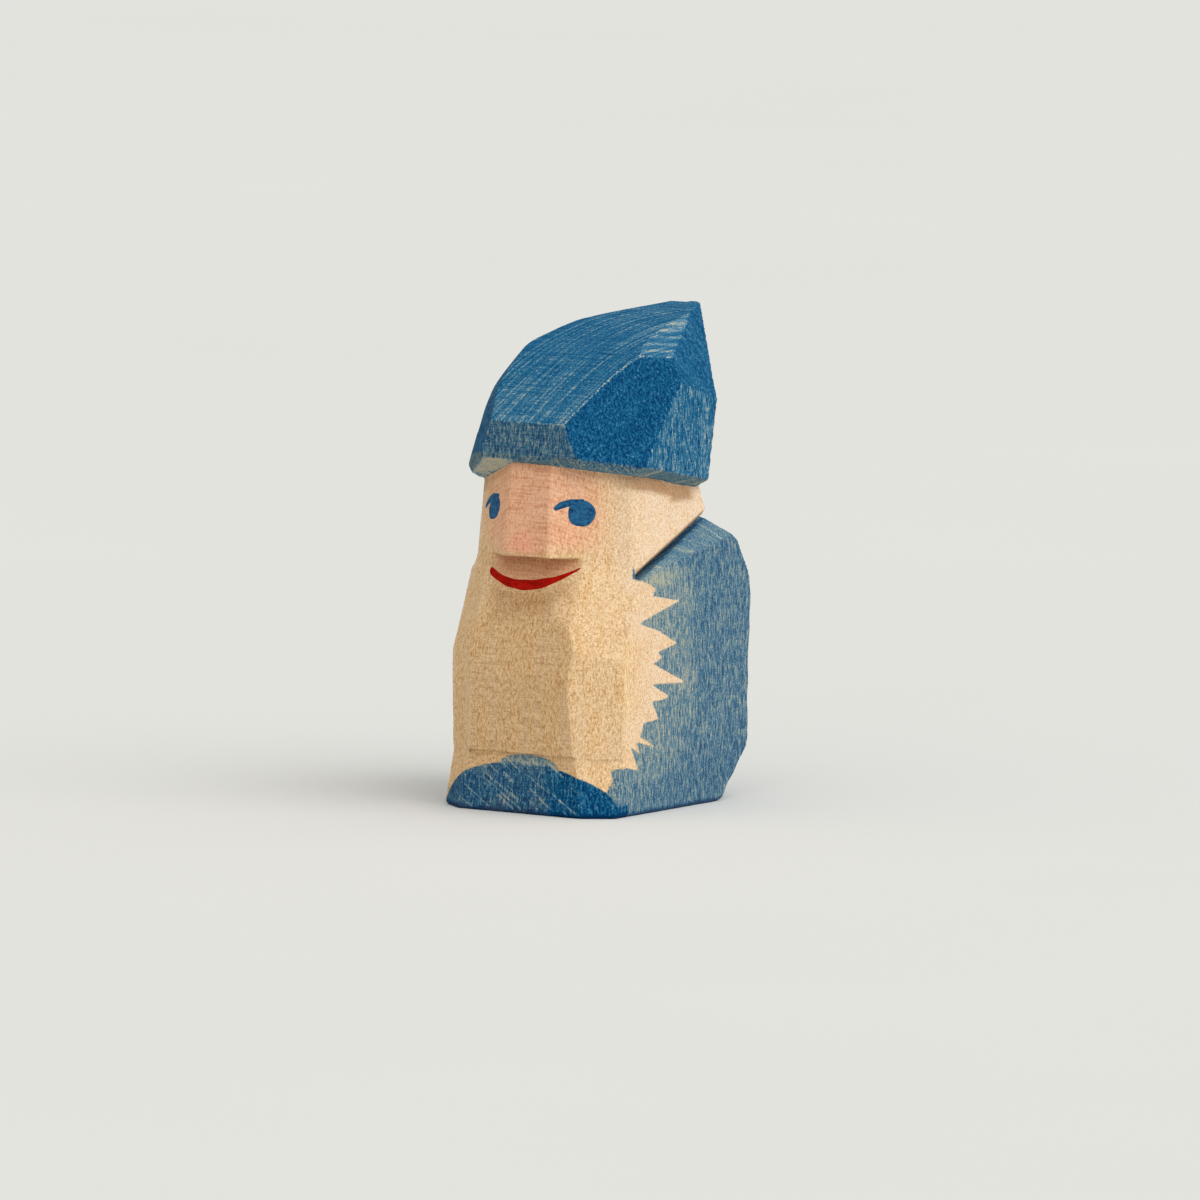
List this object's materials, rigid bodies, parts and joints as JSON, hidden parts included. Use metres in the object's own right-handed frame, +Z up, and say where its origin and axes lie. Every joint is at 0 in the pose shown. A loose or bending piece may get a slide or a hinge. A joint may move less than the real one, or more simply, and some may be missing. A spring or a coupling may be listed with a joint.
{
  "type": "wooden_gnome_figure",
  "caption": "Hand-carved pale maple gnome figure with knife-cut facets, a blue-stained cap and coat, bare beard, rosy cheeks and a painted smile.",
  "frame": {"origin": "on the flat base, midway across the board's thickness and under the neck", "axes": "+Z up; the face looks along -Y; +X is the figure's left side"},
  "size_m": [0.0274, 0.0331, 0.0643],
  "materials": {
    "maple": "matte",
    "eye_paint": "matte",
    "mouth_paint": "matte"
  },
  "bodies": {
    "root": {"carved_figure": "maple", "left_eye_paint": "eye_paint", "right_eye_paint": "eye_paint", "mouth_paint": "mouth_paint"}
  },
  "joints": []
}
